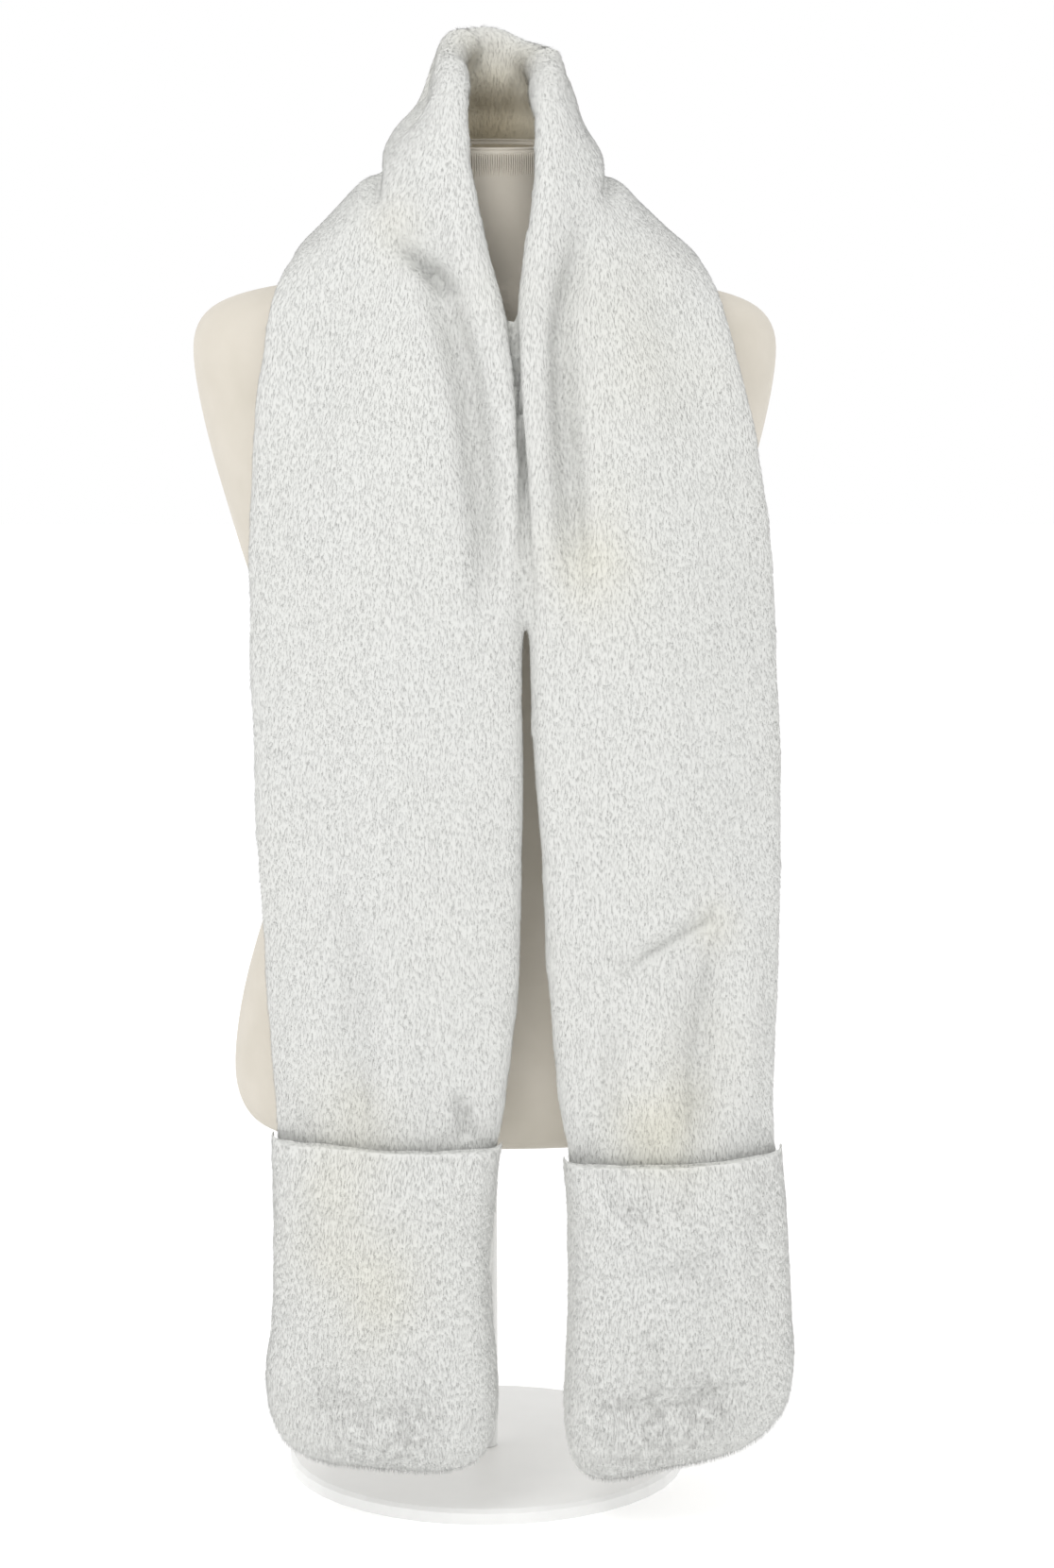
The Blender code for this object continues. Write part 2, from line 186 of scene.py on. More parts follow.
def merged_copy(name, *nodes):
    """The named CAD solids as one mesh of quads where their triangles pair up."""
    mesh = bmesh.new()
    for node in nodes:
        part = NODES[node].data.copy()
        part.transform(NODES[node].matrix_world)
        mesh.from_mesh(part)
        bpy.data.meshes.remove(part)
    bmesh.ops.remove_doubles(mesh, verts=mesh.verts, dist=1e-5)
    bmesh.ops.join_triangles(
        mesh,
        faces=mesh.faces,
        angle_face_threshold=math.radians(50),
        angle_shape_threshold=math.radians(70),
    )
    data = bpy.data.meshes.new(name)
    mesh.to_mesh(data)
    mesh.free()
    return object_from_mesh(name, data)


def settle_modifiers(obj):
    """Turns what the modifiers show into the object's own mesh and removes them."""
    graph = bpy.context.evaluated_depsgraph_get()
    graph.update()
    data = bpy.data.meshes.new_from_object(obj.evaluated_get(graph))
    obj.modifiers.clear()
    old = obj.data
    obj.data = data
    bpy.data.meshes.remove(old)
    obj.data.shade_smooth()
    return obj


def subdivide(obj, levels):
    rounded = obj.modifiers.new("rounded", "SUBSURF")
    rounded.levels = levels
    rounded.render_levels = levels
    return settle_modifiers(obj)


def felted(obj, voxel, smoothing):
    """Joins the plies into one padded body of even quads."""
    skin = obj.modifiers.new("one_skin", "REMESH")
    skin.mode = "VOXEL"
    skin.voxel_size = voxel
    soft = obj.modifiers.new("soft", "SMOOTH")
    soft.factor = 0.5
    soft.iterations = smoothing
    return settle_modifiers(obj)


def points_and_normals(data):
    count = len(data.vertices)
    points = np.empty(count * 3)
    normals = np.empty(count * 3)
    data.vertices.foreach_get("co", points)
    data.vertices.foreach_get("normal", normals)
    return points.reshape(-1, 3), normals.reshape(-1, 3)


def set_points(data, points):
    data.vertices.foreach_set("co", points.reshape(-1))
    data.update()


def distance_to_path(points, path):
    """Each point's distance to a path of straight stretches, and its place along it."""
    best = np.full(len(points), 1e9)
    place = np.zeros(len(points))
    lengths = [np.linalg.norm(b - a) for a, b in zip(path, path[1:])]
    total = sum(lengths)
    gone = 0.0
    for a, b, length in zip(path, path[1:], lengths):
        along = np.clip((points - a) @ (b - a) / length**2, 0, 1)
        away = np.linalg.norm(points - (a + along[:, None] * (b - a)), axis=1)
        nearer = away < best
        best[nearer] = away[nearer]
        place[nearer] = (gone + along[nearer] * length) / total
        gone += length
    return best, place


SIDES = {"out": (1.0, 0.0), "in": (-1.0, 0.0), "lip": (-0.75, 0.66)}


def facing_side(points, normals, side):
    """How far each point faces the named side: outwards, inwards, or in and up."""
    away = np.stack((points[:, 0] - 0.006, points[:, 1], np.zeros(len(points))), axis=1)
    low = points[:, 2] < 0.84
    away[low] *= (0.35, 1.0, 1.0)
    away /= np.maximum(np.linalg.norm(away, axis=1), 1e-6)[:, None]
    level, upward = SIDES[side]
    faced = (normals * away).sum(axis=1) * level + normals[:, 2] * upward
    return np.clip(faced * 1.6 + 0.15, 0, 1)


def press_folds(data, folds):
    """Presses each fold into the cloth along its normal, fading at both ends."""
    points, normals = points_and_normals(data)
    shift = np.zeros(len(points))
    for _, side, half_width, depth, path in folds:
        path = np.array(path, float) * MM
        away, place = distance_to_path(points, path)
        near = away < half_width * MM * 3.2
        profile = np.exp(-((away[near] / (half_width * 0.85 * MM)) ** 2))
        ends = np.clip(np.minimum(place[near], 1 - place[near]) * 4 + 0.25, 0, 1)
        faced = facing_side(points[near], normals[near], side)
        shift[near] += profile * ends * faced * depth * FOLD_GAIN * MM
    set_points(data, points - normals * shift[:, None])


def carry(data, rows):
    points, _ = points_and_normals(data)
    moved = points.copy()
    for _, centre, reach, shift in rows:
        away = np.linalg.norm(points - np.array(centre) * MM, axis=1)
        share = np.exp(-((away / (reach * MM)) ** 2))
        moved += share[:, None] * np.array(shift) * MM
    set_points(data, moved)


def mark(data, label, spots, least, side=None):
    """Writes how strongly each point carries a mark, as an attribute of the mesh."""
    points, normals = points_and_normals(data)
    value = np.full(len(points), least)
    for centre, reach, strength in spots:
        away = (points - np.array(centre) * MM) * (1.0, 0.7, 0.75)
        away = np.linalg.norm(away, axis=1)
        value += strength * np.exp(-((away / (reach * MM)) ** 2))
    if side:
        value *= facing_side(points, normals, side)
    layer = data.attributes.new(label, "FLOAT", "POINT")
    layer.data.foreach_set("value", np.clip(value, 0, 1))


def mark_pile(data):
    # Creamy patches, and painted shade low inside the back of the collar.
    mark(data, "creaminess_and_shade", WARM_AND_SHADE_SPOTS, 0.05)
    # Painted shade in creases, gathers and low on the pockets.
    mark(data, "pile_painted_shade", PILE_SHADE_SPOTS, 0.06)
    # Painted shade on the inner face of the collar.
    mark(data, "inner_collar_painted_shade", INNER_COLLAR_SHADE_SPOTS, 0.0, "in")


def lean_mouth(data):
    """Leans the top of a pocket in, and keeps its sides where they are sewn."""
    points, _ = points_and_normals(data)
    top = points[:, 2].max()
    middle = (points[:, 0].max() + points[:, 0].min()) / 2
    half = (points[:, 0].max() - points[:, 0].min()) / 2
    high = np.clip((points[:, 2] - top + MOUTH_DEPTH * MM) / (MOUTH_DEPTH * MM), 0, 1)
    high = high * high * (3 - 2 * high)
    inner = 1 - np.clip(np.abs(points[:, 0] - middle) / half, 0, 1) ** 4
    points[:, 1] += high * inner * MOUTH_LEAN * MM
    set_points(data, points)


def ruffle(data, rows, seed):
    """Soft unevenness in the pile: each row is a scale and an amount, in mm."""
    points, normals = points_and_normals(data)
    shift = np.zeros(len(points))
    offset = Vector((seed * 7.31, seed * 3.77, seed * 1.93))
    for scale, amount in rows:
        for i, p in enumerate(points):
            shift[i] += noise.noise(Vector(p) / (scale * MM) + offset) * amount
    set_points(data, points + normals * (shift * MM)[:, None])


# Materials.


def new_group(name, inputs, outputs):
    group = bpy.data.node_groups.new(name, "ShaderNodeTree")
    for label, kind, value in inputs:
        socket = group.interface.new_socket(label, in_out="INPUT", socket_type=kind)
        if value is not None:
            socket.default_value = value
    for label, kind in outputs:
        group.interface.new_socket(label, in_out="OUTPUT", socket_type=kind)
    nodes = group.nodes
    return group, nodes.new("NodeGroupInput"), nodes.new("NodeGroupOutput")


def pile_tone_group():
    """Plush: a soft blotchy tone, warm patches and mottling towards painted shade."""
    group, given, result = new_group(
        "pile_tone",
        (
            ("Light", "NodeSocketColor", (0.8, 0.8, 0.78, 1)),
            ("Shade", "NodeSocketColor", (0.6, 0.6, 0.58, 1)),
            ("Warm", "NodeSocketColor", (0.8, 0.77, 0.66, 1)),
            ("Warmth", "NodeSocketFloat", 0.3),
            ("Mottling", "NodeSocketFloat", 0.3),
            ("Tuft Size", "NodeSocketFloat", 0.006),
        ),
        (("Color", "NodeSocketColor"), ("Height", "NodeSocketFloat")),
    )
    nodes, link = group.nodes, group.links.new
    place = nodes.new("ShaderNodeTexCoord")
    inverse = nodes.new("ShaderNodeMath")
    inverse.operation = "DIVIDE"
    inverse.inputs[0].default_value = 1.0
    link(given.outputs["Tuft Size"], inverse.inputs[1])
    tufts = nodes.new("ShaderNodeTexNoise")
    tufts.inputs["Detail"].default_value = 4.0
    tufts.inputs["Roughness"].default_value = 0.62
    link(place.outputs["Object"], tufts.inputs["Vector"])
    link(inverse.outputs[0], tufts.inputs["Scale"])
    combed = nodes.new("ShaderNodeMapping")
    combed.inputs["Scale"].default_value = (1100, 1100, 330)
    link(place.outputs["Object"], combed.inputs["Vector"])
    hairs = nodes.new("ShaderNodeTexNoise")
    hairs.inputs["Scale"].default_value = 1.0
    hairs.inputs["Detail"].default_value = 2.0
    link(combed.outputs["Vector"], hairs.inputs["Vector"])
    patches = nodes.new("ShaderNodeTexNoise")
    patches.inputs["Scale"].default_value = 9.0
    patches.inputs["Detail"].default_value = 1.5
    link(place.outputs["Object"], patches.inputs["Vector"])
    patch_mask = nodes.new("ShaderNodeMapRange")
    patch_mask.inputs["From Min"].default_value = 0.30
    patch_mask.inputs["From Max"].default_value = 0.62
    link(patches.outputs["Fac"], patch_mask.inputs["Value"])
    warm_amount = nodes.new("ShaderNodeMath")
    warm_amount.operation = "MULTIPLY"
    link(patch_mask.outputs["Result"], warm_amount.inputs[0])
    link(given.outputs["Warmth"], warm_amount.inputs[1])
    tuft_mask = nodes.new("ShaderNodeMapRange")
    tuft_mask.inputs["From Min"].default_value = 0.62
    tuft_mask.inputs["From Max"].default_value = 0.34
    link(tufts.outputs["Fac"], tuft_mask.inputs["Value"])
    shade_amount = nodes.new("ShaderNodeMath")
    shade_amount.operation = "MULTIPLY"
    link(tuft_mask.outputs["Result"], shade_amount.inputs[0])
    link(given.outputs["Mottling"], shade_amount.inputs[1])
    warmed = mix_colour(nodes, link, warm_amount.outputs[0], given.outputs["Light"], given.outputs["Warm"])
    toned = mix_colour(nodes, link, shade_amount.outputs[0], warmed, given.outputs["Shade"])
    height = nodes.new("ShaderNodeMath")
    height.operation = "MULTIPLY_ADD"
    height.inputs[1].default_value = 0.45
    link(hairs.outputs["Fac"], height.inputs[0])
    link(tufts.outputs["Fac"], height.inputs[2])
    link(toned, result.inputs["Color"])
    link(height.outputs[0], result.inputs["Height"])
    return group


def mix_colour(nodes, link, amount, first, second):
    mix = nodes.new("ShaderNodeMix")
    mix.data_type = "RGBA"
    link(amount, mix.inputs[0])
    link(first, mix.inputs[6])
    link(second, mix.inputs[7])
    return mix.outputs[2]


def base_material(name, roughness):
    made = bpy.data.materials.new(name)
    made.use_nodes = True
    shader = made.node_tree.nodes["Principled BSDF"]
    shader.inputs["Roughness"].default_value = roughness
    return made, shader


def plush_material(name, group, light, shade, warm, warmth, mottling, bump, sheen):
    made, shader = base_material(name, 1.0)
    nodes, link = made.node_tree.nodes, made.node_tree.links.new
    tone = nodes.new("ShaderNodeGroup")
    tone.node_tree = group
    tone.inputs["Light"].default_value = (*light, 1)
    tone.inputs["Shade"].default_value = (*shade, 1)
    tone.inputs["Warm"].default_value = (*warm, 1)
    # Painted shade greys the tone, through the mottling, in creases and low on the pockets.
    for label, socket, strength in (("creaminess_and_shade", "Warmth", warmth), ("pile_painted_shade", "Mottling", mottling)):
        written = nodes.new("ShaderNodeAttribute")
        written.attribute_name = label
        scaled = nodes.new("ShaderNodeMath")
        scaled.operation = "MULTIPLY"
        scaled.inputs[1].default_value = strength
        link(written.outputs["Fac"], scaled.inputs[0])
        link(scaled.outputs[0], tone.inputs[socket])
    # Painted shade: the inner collar is mixed towards a shaded tan.
    inner_shade_mark = nodes.new("ShaderNodeAttribute")
    inner_shade_mark.attribute_name = "inner_collar_painted_shade"
    shaded_tan = nodes.new("ShaderNodeRGB")
    shaded_tan.outputs[0].default_value = (0.60, 0.53, 0.39, 1)
    tone_with_inner_shade = mix_colour(nodes, link, inner_shade_mark.outputs["Fac"], tone.outputs["Color"], shaded_tan.outputs[0])
    link(tone_with_inner_shade, shader.inputs["Base Color"])
    if bump:
        relief = nodes.new("ShaderNodeBump")
        relief.inputs["Strength"].default_value = bump
        relief.inputs["Distance"].default_value = 0.0008
        link(tone.outputs["Height"], relief.inputs["Height"])
        link(relief.outputs["Normal"], shader.inputs["Normal"])
    else:
        facing = nodes.new("ShaderNodeAttribute")
        facing.attribute_name = "root_facing"
        own = nodes.new("ShaderNodeNewGeometry")
        blend = nodes.new("ShaderNodeMix")
        blend.data_type = "VECTOR"
        blend.inputs[0].default_value = 0.16
        link(facing.outputs["Vector"], blend.inputs[4])
        link(own.outputs["Normal"], blend.inputs[5])
        level = nodes.new("ShaderNodeVectorMath")
        level.operation = "NORMALIZE"
        link(blend.outputs[1], level.inputs[0])
        link(level.outputs[0], shader.inputs["Normal"])
    shader.inputs["Specular IOR Level"].default_value = 0.15
    shader.inputs["Sheen Weight"].default_value = sheen
    shader.inputs["Sheen Roughness"].default_value = 0.6
    return made


def knit_group():
    """Fine jersey: wales that run down the form, and a slight unevenness of tone."""
    group, given, result = new_group(
        "fine_knit",
        (
            ("Light", "NodeSocketColor", (0.6, 0.56, 0.46, 1)),
            ("Dark", "NodeSocketColor", (0.5, 0.46, 0.37, 1)),
            ("Wales per Metre", "NodeSocketFloat", 900.0),
        ),
        (("Color", "NodeSocketColor"), ("Height", "NodeSocketFloat")),
    )
    nodes, link = group.nodes, group.links.new
    place = nodes.new("ShaderNodeTexCoord")
    wales = nodes.new("ShaderNodeTexWave")
    wales.wave_type = "BANDS"
    wales.bands_direction = "X"
    wales.inputs["Distortion"].default_value = 1.2
    wales.inputs["Detail"].default_value = 1.0
    link(place.outputs["Object"], wales.inputs["Vector"])
    link(given.outputs["Wales per Metre"], wales.inputs["Scale"])
    courses = nodes.new("ShaderNodeTexWave")
    courses.wave_type = "BANDS"
    courses.bands_direction = "Z"
    courses.inputs["Scale"].default_value = 620.0
    courses.inputs["Distortion"].default_value = 1.5
    link(place.outputs["Object"], courses.inputs["Vector"])
    crossing = nodes.new("ShaderNodeMath")
    crossing.operation = "MULTIPLY"
    link(wales.outputs["Fac"], crossing.inputs[0])
    link(courses.outputs["Fac"], crossing.inputs[1])
    blotch = nodes.new("ShaderNodeTexNoise")
    blotch.inputs["Scale"].default_value = 26.0
    blotch.inputs["Detail"].default_value = 5.0
    link(place.outputs["Object"], blotch.inputs["Vector"])
    amount = nodes.new("ShaderNodeMath")
    amount.operation = "MULTIPLY_ADD"
    amount.inputs[1].default_value = 0.35
    link(crossing.outputs[0], amount.inputs[0])
    blotch_share = nodes.new("ShaderNodeMapRange")
    blotch_share.inputs["From Min"].default_value = 0.35
    blotch_share.inputs["From Max"].default_value = 0.7
    blotch_share.inputs["To Max"].default_value = 0.5
    link(blotch.outputs["Fac"], blotch_share.inputs["Value"])
    link(blotch_share.outputs["Result"], amount.inputs[2])
    colour = mix_colour(nodes, link, amount.outputs[0], given.outputs["Light"], given.outputs["Dark"])
    link(colour, result.inputs["Color"])
    link(crossing.outputs[0], result.inputs["Height"])
    return group


def jersey_material(name, group, light, dark, bump):
    made, shader = base_material(name, 0.88)
    nodes, link = made.node_tree.nodes, made.node_tree.links.new
    knit = nodes.new("ShaderNodeGroup")
    knit.node_tree = group
    knit.inputs["Light"].default_value = (*light, 1)
    knit.inputs["Dark"].default_value = (*dark, 1)
    link(knit.outputs["Color"], shader.inputs["Base Color"])
    relief = nodes.new("ShaderNodeBump")
    relief.inputs["Strength"].default_value = bump
    relief.inputs["Distance"].default_value = 0.0004
    link(knit.outputs["Height"], relief.inputs["Height"])
    link(relief.outputs["Normal"], shader.inputs["Normal"])
    shader.inputs["Specular IOR Level"].default_value = 0.25
    shader.inputs["Sheen Weight"].default_value = 0.15
    return made


def lacquer_material(name):
    made, shader = base_material(name, 0.35)
    nodes, link = made.node_tree.nodes, made.node_tree.links.new
    place = nodes.new("ShaderNodeTexCoord")
    wear = nodes.new("ShaderNodeTexNoise")
    wear.inputs["Scale"].default_value = 34.0
    wear.inputs["Detail"].default_value = 6.0
    link(place.outputs["Object"], wear.inputs["Vector"])
    gloss = nodes.new("ShaderNodeMapRange")
    gloss.inputs["To Min"].default_value = 0.28
    gloss.inputs["To Max"].default_value = 0.5
    link(wear.outputs["Fac"], gloss.inputs["Value"])
    link(gloss.outputs["Result"], shader.inputs["Roughness"])
    tone = nodes.new("ShaderNodeValToRGB")
    tone.color_ramp.elements[0].color = (0.78, 0.78, 0.77, 1)
    tone.color_ramp.elements[1].color = (0.86, 0.86, 0.85, 1)
    link(wear.outputs["Fac"], tone.inputs["Fac"])
    link(tone.outputs["Color"], shader.inputs["Base Color"])
    return made


def dress(obj, finish):
    obj.data.materials.clear()
    obj.data.materials.append(finish)


# The pile, as strands that grow on a body of plush.


def strand_mesh():
    """One strand: a thin flat spike, open only at its hidden root."""
    root = ((1, 0, 0), (0, -0.5, 0), (0, 0.5, 0))
    data = bpy.data.meshes.new("strand")
    data.from_pydata(root + ((0.1, 0, 1),), [], [(0, 1, 3), (1, 2, 3), (2, 0, 3)])
    return object_from_mesh("strand", data)


def pile_tree():
    """Strands scattered on a surface, laid down the nap with a little disorder."""
    tree = bpy.data.node_groups.new("pile_strands", "GeometryNodeTree")
    face = tree.interface
    face.new_socket("Geometry", in_out="INPUT", socket_type="NodeSocketGeometry")
    for label, kind in (
        ("Strand", "NodeSocketObject"),
        ("Density", "NodeSocketFloat"),
        ("Size", "NodeSocketVector"),
        ("Nap", "NodeSocketVector"),
        ("Lay", "NodeSocketFloat"),
        ("Seed", "NodeSocketInt"),
        ("Finish", "NodeSocketMaterial"),
    ):
        face.new_socket(label, in_out="INPUT", socket_type=kind)
    face.new_socket("Geometry", in_out="OUTPUT", socket_type="NodeSocketGeometry")
    nodes, link = tree.nodes, tree.links.new
    given = nodes.new("NodeGroupInput")
    result = nodes.new("NodeGroupOutput")
    scatter = nodes.new("GeometryNodeDistributePointsOnFaces")
    link(given.outputs["Geometry"], scatter.inputs["Mesh"])
    link(given.outputs["Density"], scatter.inputs["Density"])
    link(given.outputs["Seed"], scatter.inputs["Seed"])
    thick = nodes.new("GeometryNodeInputNamedAttribute")
    thick.inputs["Name"].default_value = "pile"
    density = nodes.new("ShaderNodeMath")
    density.operation = "MULTIPLY"
    link(given.outputs["Density"], density.inputs[0])
    link(thick.outputs["Attribute"], density.inputs[1])
    link(density.outputs[0], scatter.inputs["Density"])
    # The strand leans from the normal towards the nap, with a random part.
    stray = nodes.new("FunctionNodeRandomValue")
    stray.data_type = "FLOAT_VECTOR"
    stray.inputs[0].default_value = (-0.4, -0.4, -0.4)
    stray.inputs[1].default_value = (0.4, 0.4, 0.4)
    link(given.outputs["Seed"], stray.inputs["Seed"])
    waves = nodes.new("ShaderNodeTexNoise")
    waves.inputs["Scale"].default_value = 60.0
    waves.inputs["Detail"].default_value = 1.0
    spot = nodes.new("GeometryNodeInputPosition")
    link(spot.outputs["Position"], waves.inputs["Vector"])
    swirl = vector_maths(nodes, "MULTIPLY_ADD", link)
    link(waves.outputs["Color"], swirl.inputs[0])
    swirl.inputs[1].default_value = (0.9, 0.9, 0.9)
    swirl.inputs[2].default_value = (-0.45, -0.45, -0.45)
    laid = vector_maths(nodes, "SCALE", link)
    link(given.outputs["Nap"], laid.inputs[0])
    link(given.outputs["Lay"], laid.inputs["Scale"])
    lean = vector_maths(nodes, "ADD", link)
    link(laid.outputs[0], lean.inputs[0])
    link(stray.outputs["Value"], lean.inputs[1])
    lean_more = vector_maths(nodes, "ADD", link)
    link(lean.outputs[0], lean_more.inputs[0])
    link(swirl.outputs[0], lean_more.inputs[1])
    direction = vector_maths(nodes, "ADD", link)
    link(scatter.outputs["Normal"], direction.inputs[0])
    link(lean_more.outputs[0], direction.inputs[1])
    # No strand points into the cloth: part of the normal is always added back.
    against = vector_maths(nodes, "DOT_PRODUCT", link)
    link(direction.outputs[0], against.inputs[0])
    link(scatter.outputs["Normal"], against.inputs[1])
    missing = nodes.new("ShaderNodeMath")
    missing.operation = "SUBTRACT"
    missing.inputs[0].default_value = 0.4
    link(against.outputs["Value"], missing.inputs[1])
    at_least = nodes.new("ShaderNodeMath")
    at_least.operation = "MAXIMUM"
    at_least.inputs[1].default_value = 0.0
    link(missing.outputs[0], at_least.inputs[0])
    lift = vector_maths(nodes, "SCALE", link)
    link(scatter.outputs["Normal"], lift.inputs[0])
    link(at_least.outputs[0], lift.inputs["Scale"])
    upright = vector_maths(nodes, "ADD", link)
    link(direction.outputs[0], upright.inputs[0])
    link(lift.outputs[0], upright.inputs[1])
    turned = nodes.new("FunctionNodeAlignEulerToVector")
    turned.axis = "Z"
    link(upright.outputs[0], turned.inputs["Vector"])
    # The strand's flat side faces out of the cloth.
    flat = nodes.new("FunctionNodeAlignEulerToVector")
    flat.axis = "X"
    flat.pivot_axis = "Z"
    link(turned.outputs["Rotation"], flat.inputs["Rotation"])
    link(scatter.outputs["Normal"], flat.inputs["Vector"])
    reach = nodes.new("FunctionNodeRandomValue")
    reach.data_type = "FLOAT"
    reach.inputs[2].default_value = 0.6
    reach.inputs[3].default_value = 1.15
    link(given.outputs["Seed"], reach.inputs["Seed"])
    size = vector_maths(nodes, "SCALE", link)
    link(given.outputs["Size"], size.inputs[0])
    link(reach.outputs[1], size.inputs["Scale"])
    strand = nodes.new("GeometryNodeObjectInfo")
    link(given.outputs["Strand"], strand.inputs["Object"])
    # Each strand keeps the direction that the cloth faces at its root.
    rooted = nodes.new("GeometryNodeStoreNamedAttribute")
    rooted.data_type = "FLOAT_VECTOR"
    rooted.domain = "POINT"
    rooted.inputs["Name"].default_value = "root_facing"
    link(scatter.outputs["Points"], rooted.inputs["Geometry"])
    link(scatter.outputs["Normal"], rooted.inputs["Value"])
    grown = nodes.new("GeometryNodeInstanceOnPoints")
    link(rooted.outputs["Geometry"], grown.inputs["Points"])
    link(strand.outputs["Geometry"], grown.inputs["Instance"])
    link(flat.outputs["Rotation"], grown.inputs["Rotation"])
    link(size.outputs[0], grown.inputs["Scale"])
    real = nodes.new("GeometryNodeRealizeInstances")
    link(grown.outputs["Instances"], real.inputs["Geometry"])
    painted = nodes.new("GeometryNodeSetMaterial")
    link(real.outputs["Geometry"], painted.inputs["Geometry"])
    link(given.outputs["Finish"], painted.inputs["Material"])
    link(painted.outputs["Geometry"], result.inputs["Geometry"])
    return tree


def vector_maths(nodes, operation, link):
    made = nodes.new("ShaderNodeVectorMath")
    made.operation = operation
    return made


def grow_pile(name, ground, tree, strand, finish, density, nap, seed, weigh):
    """A coat of strands on part of a body. weigh gives each point's share of pile."""
    data = ground.data.copy()
    points, normals = points_and_normals(data)
    share = weigh(points, normals)
    layer = data.attributes.new("pile", "FLOAT", "POINT")
    layer.data.foreach_set("value", share)
    coat = object_from_mesh(name, data)
    values = {
        "Strand": strand,
        "Density": density,
        "Size": tuple(side * MM for side in STRAND_SIZE),
        "Nap": nap,
        "Lay": 3.0,
        "Seed": seed,
        "Finish": finish,
    }
    set_tree(coat, tree, values)
    coat.visible_shadow = False
    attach(coat, "root")
    return coat


# The pieces.


def scarf_body(finish):
    """Both plies as one padded strip, with its folds and uneven pile."""
    body = subdivide(merged_copy("scarf_plush", "scarf_face", "scarf_back"), 1)
    felted(body, BODY_VOXEL, BODY_SMOOTHING)
    carry(body.data, CARRIED)
    press_folds(body.data, FOLDS)
    ruffle(body.data, ((70, 1.6), (24, 0.7), (9, 0.25)), 1)
    mark_pile(body.data)
    dress(body, finish)
    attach(body, "root")
    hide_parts("scarf_face", "scarf_back")
    return body


def pocket_body(name, node, finish, seed):
    """A patch pocket, its mouth leaning in, with its folds and uneven pile."""
    body = subdivide(merged_copy(name, node), 3)
    lean_mouth(body.data)
    press_folds(body.data, POCKET_FOLDS)
    ruffle(body.data, ((40, 1.4), (16, 0.8), (7, 0.4)), seed)
    mark_pile(body.data)
    dress(body, finish)
    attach(body, "root")
    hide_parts(node)
    return body


def form_cover(finish):
    """The padded form in its jersey, smooth and whole."""
    cover = subdivide(merged_copy("form_cover", "dress_form"), 2)
    dress(cover, finish)
    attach(cover, "root")
    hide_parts("dress_form")
    return cover


def neck_ring(half_sizes, z, count):
    """A rounded ring about the form's neck, leaning as the neck does."""
    half_width, front, back = half_sizes
    points = []
    for k in range(count):
        turn = 2 * math.pi * k / count
        c, s = math.cos(turn), math.sin(turn)
        x = NECK_CENTRE_X + half_width * math.copysign(abs(c) ** (2 / NECK_POWER), c)
        y = (back if s > 0 else front) * math.copysign(abs(s) ** (2 / NECK_POWER), s)
        points.append(Vector((x, y, z + NECK_LEAN * y)) * MM)
    return points


def closed_rings(name, rings):
    """Rings of points joined in order, with both ends closed."""
    mesh = bmesh.new()
    loops = [[mesh.verts.new(p) for p in ring] for ring in rings]
    count = len(loops[0])
    for lower, upper in zip(loops, loops[1:]):
        for i in range(count):
            j = (i + 1) % count
            mesh.faces.new((lower[i], lower[j], upper[j], upper[i]))
    mesh.faces.new(loops[0])
    mesh.faces.new(loops[-1])
    bmesh.ops.recalc_face_normals(mesh, faces=mesh.faces)
    data = bpy.data.meshes.new(name)
    mesh.to_mesh(data)
    mesh.free()
    data.shade_smooth()
    return object_from_mesh(name, data)


def neck_cap(finish):
    """The tan disc set in the top of the neck, slightly crowned."""
    half_width, front, back = CAP_HALF_SIZES
    rings = []
    for share, z in ((0.97, 889.4), (1.0, 889.8), (0.99, 890.5), (0.9, 891.3), (0.6, 891.9), (0.25, 892.1)):
        rings.append(neck_ring((half_width * share, front * share, back * share), z, 72))
    cap = closed_rings("neck_cap", rings)
    dress(cap, finish)
    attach(cap, "root")


def neck_binding(finish):
    """The turned edge of the jersey, as a thin roll round the cap."""
    count, sides, radius = 96, 8, 1.15
    path = neck_ring(RIM_HALF_SIZES, 893.3, count)
    mesh = bmesh.new()
    loops = []
    for k, at in enumerate(path):
        along = (path[(k + 1) % count] - path[k - 1]).normalized()
        up = Vector((0, 0, 1))
        aside = along.cross(up).normalized()
        turns = [2 * math.pi * i / sides for i in range(sides)]
        loops.append([mesh.verts.new(at + (aside * math.cos(a) + up * math.sin(a)) * radius * MM) for a in turns])
    for k in range(count):
        here, there = loops[k], loops[(k + 1) % count]
        for i in range(sides):
            j = (i + 1) % sides
            mesh.faces.new((here[i], here[j], there[j], there[i]))
    bmesh.ops.recalc_face_normals(mesh, faces=mesh.faces)
    data = bpy.data.meshes.new("neck_binding")
    mesh.to_mesh(data)
    mesh.free()
    data.shade_smooth()
    binding = object_from_mesh("neck_binding", data)
    dress(binding, finish)
    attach(binding, "root")


def rib_mesh():
    """One gathered rib: a low rounded ridge that fades at both ends."""
    rings = []
    for z, size in ((-1.0, 0.15), (-0.7, 0.7), (0.0, 1.0), (0.7, 1.0), (1.0, 0.6)):
        turns = [2 * math.pi * k / 6 for k in range(6)]
        rings.append([Vector((math.cos(a) * size, math.sin(a) * size, z)) for a in turns])
    return closed_rings("rib", rings)


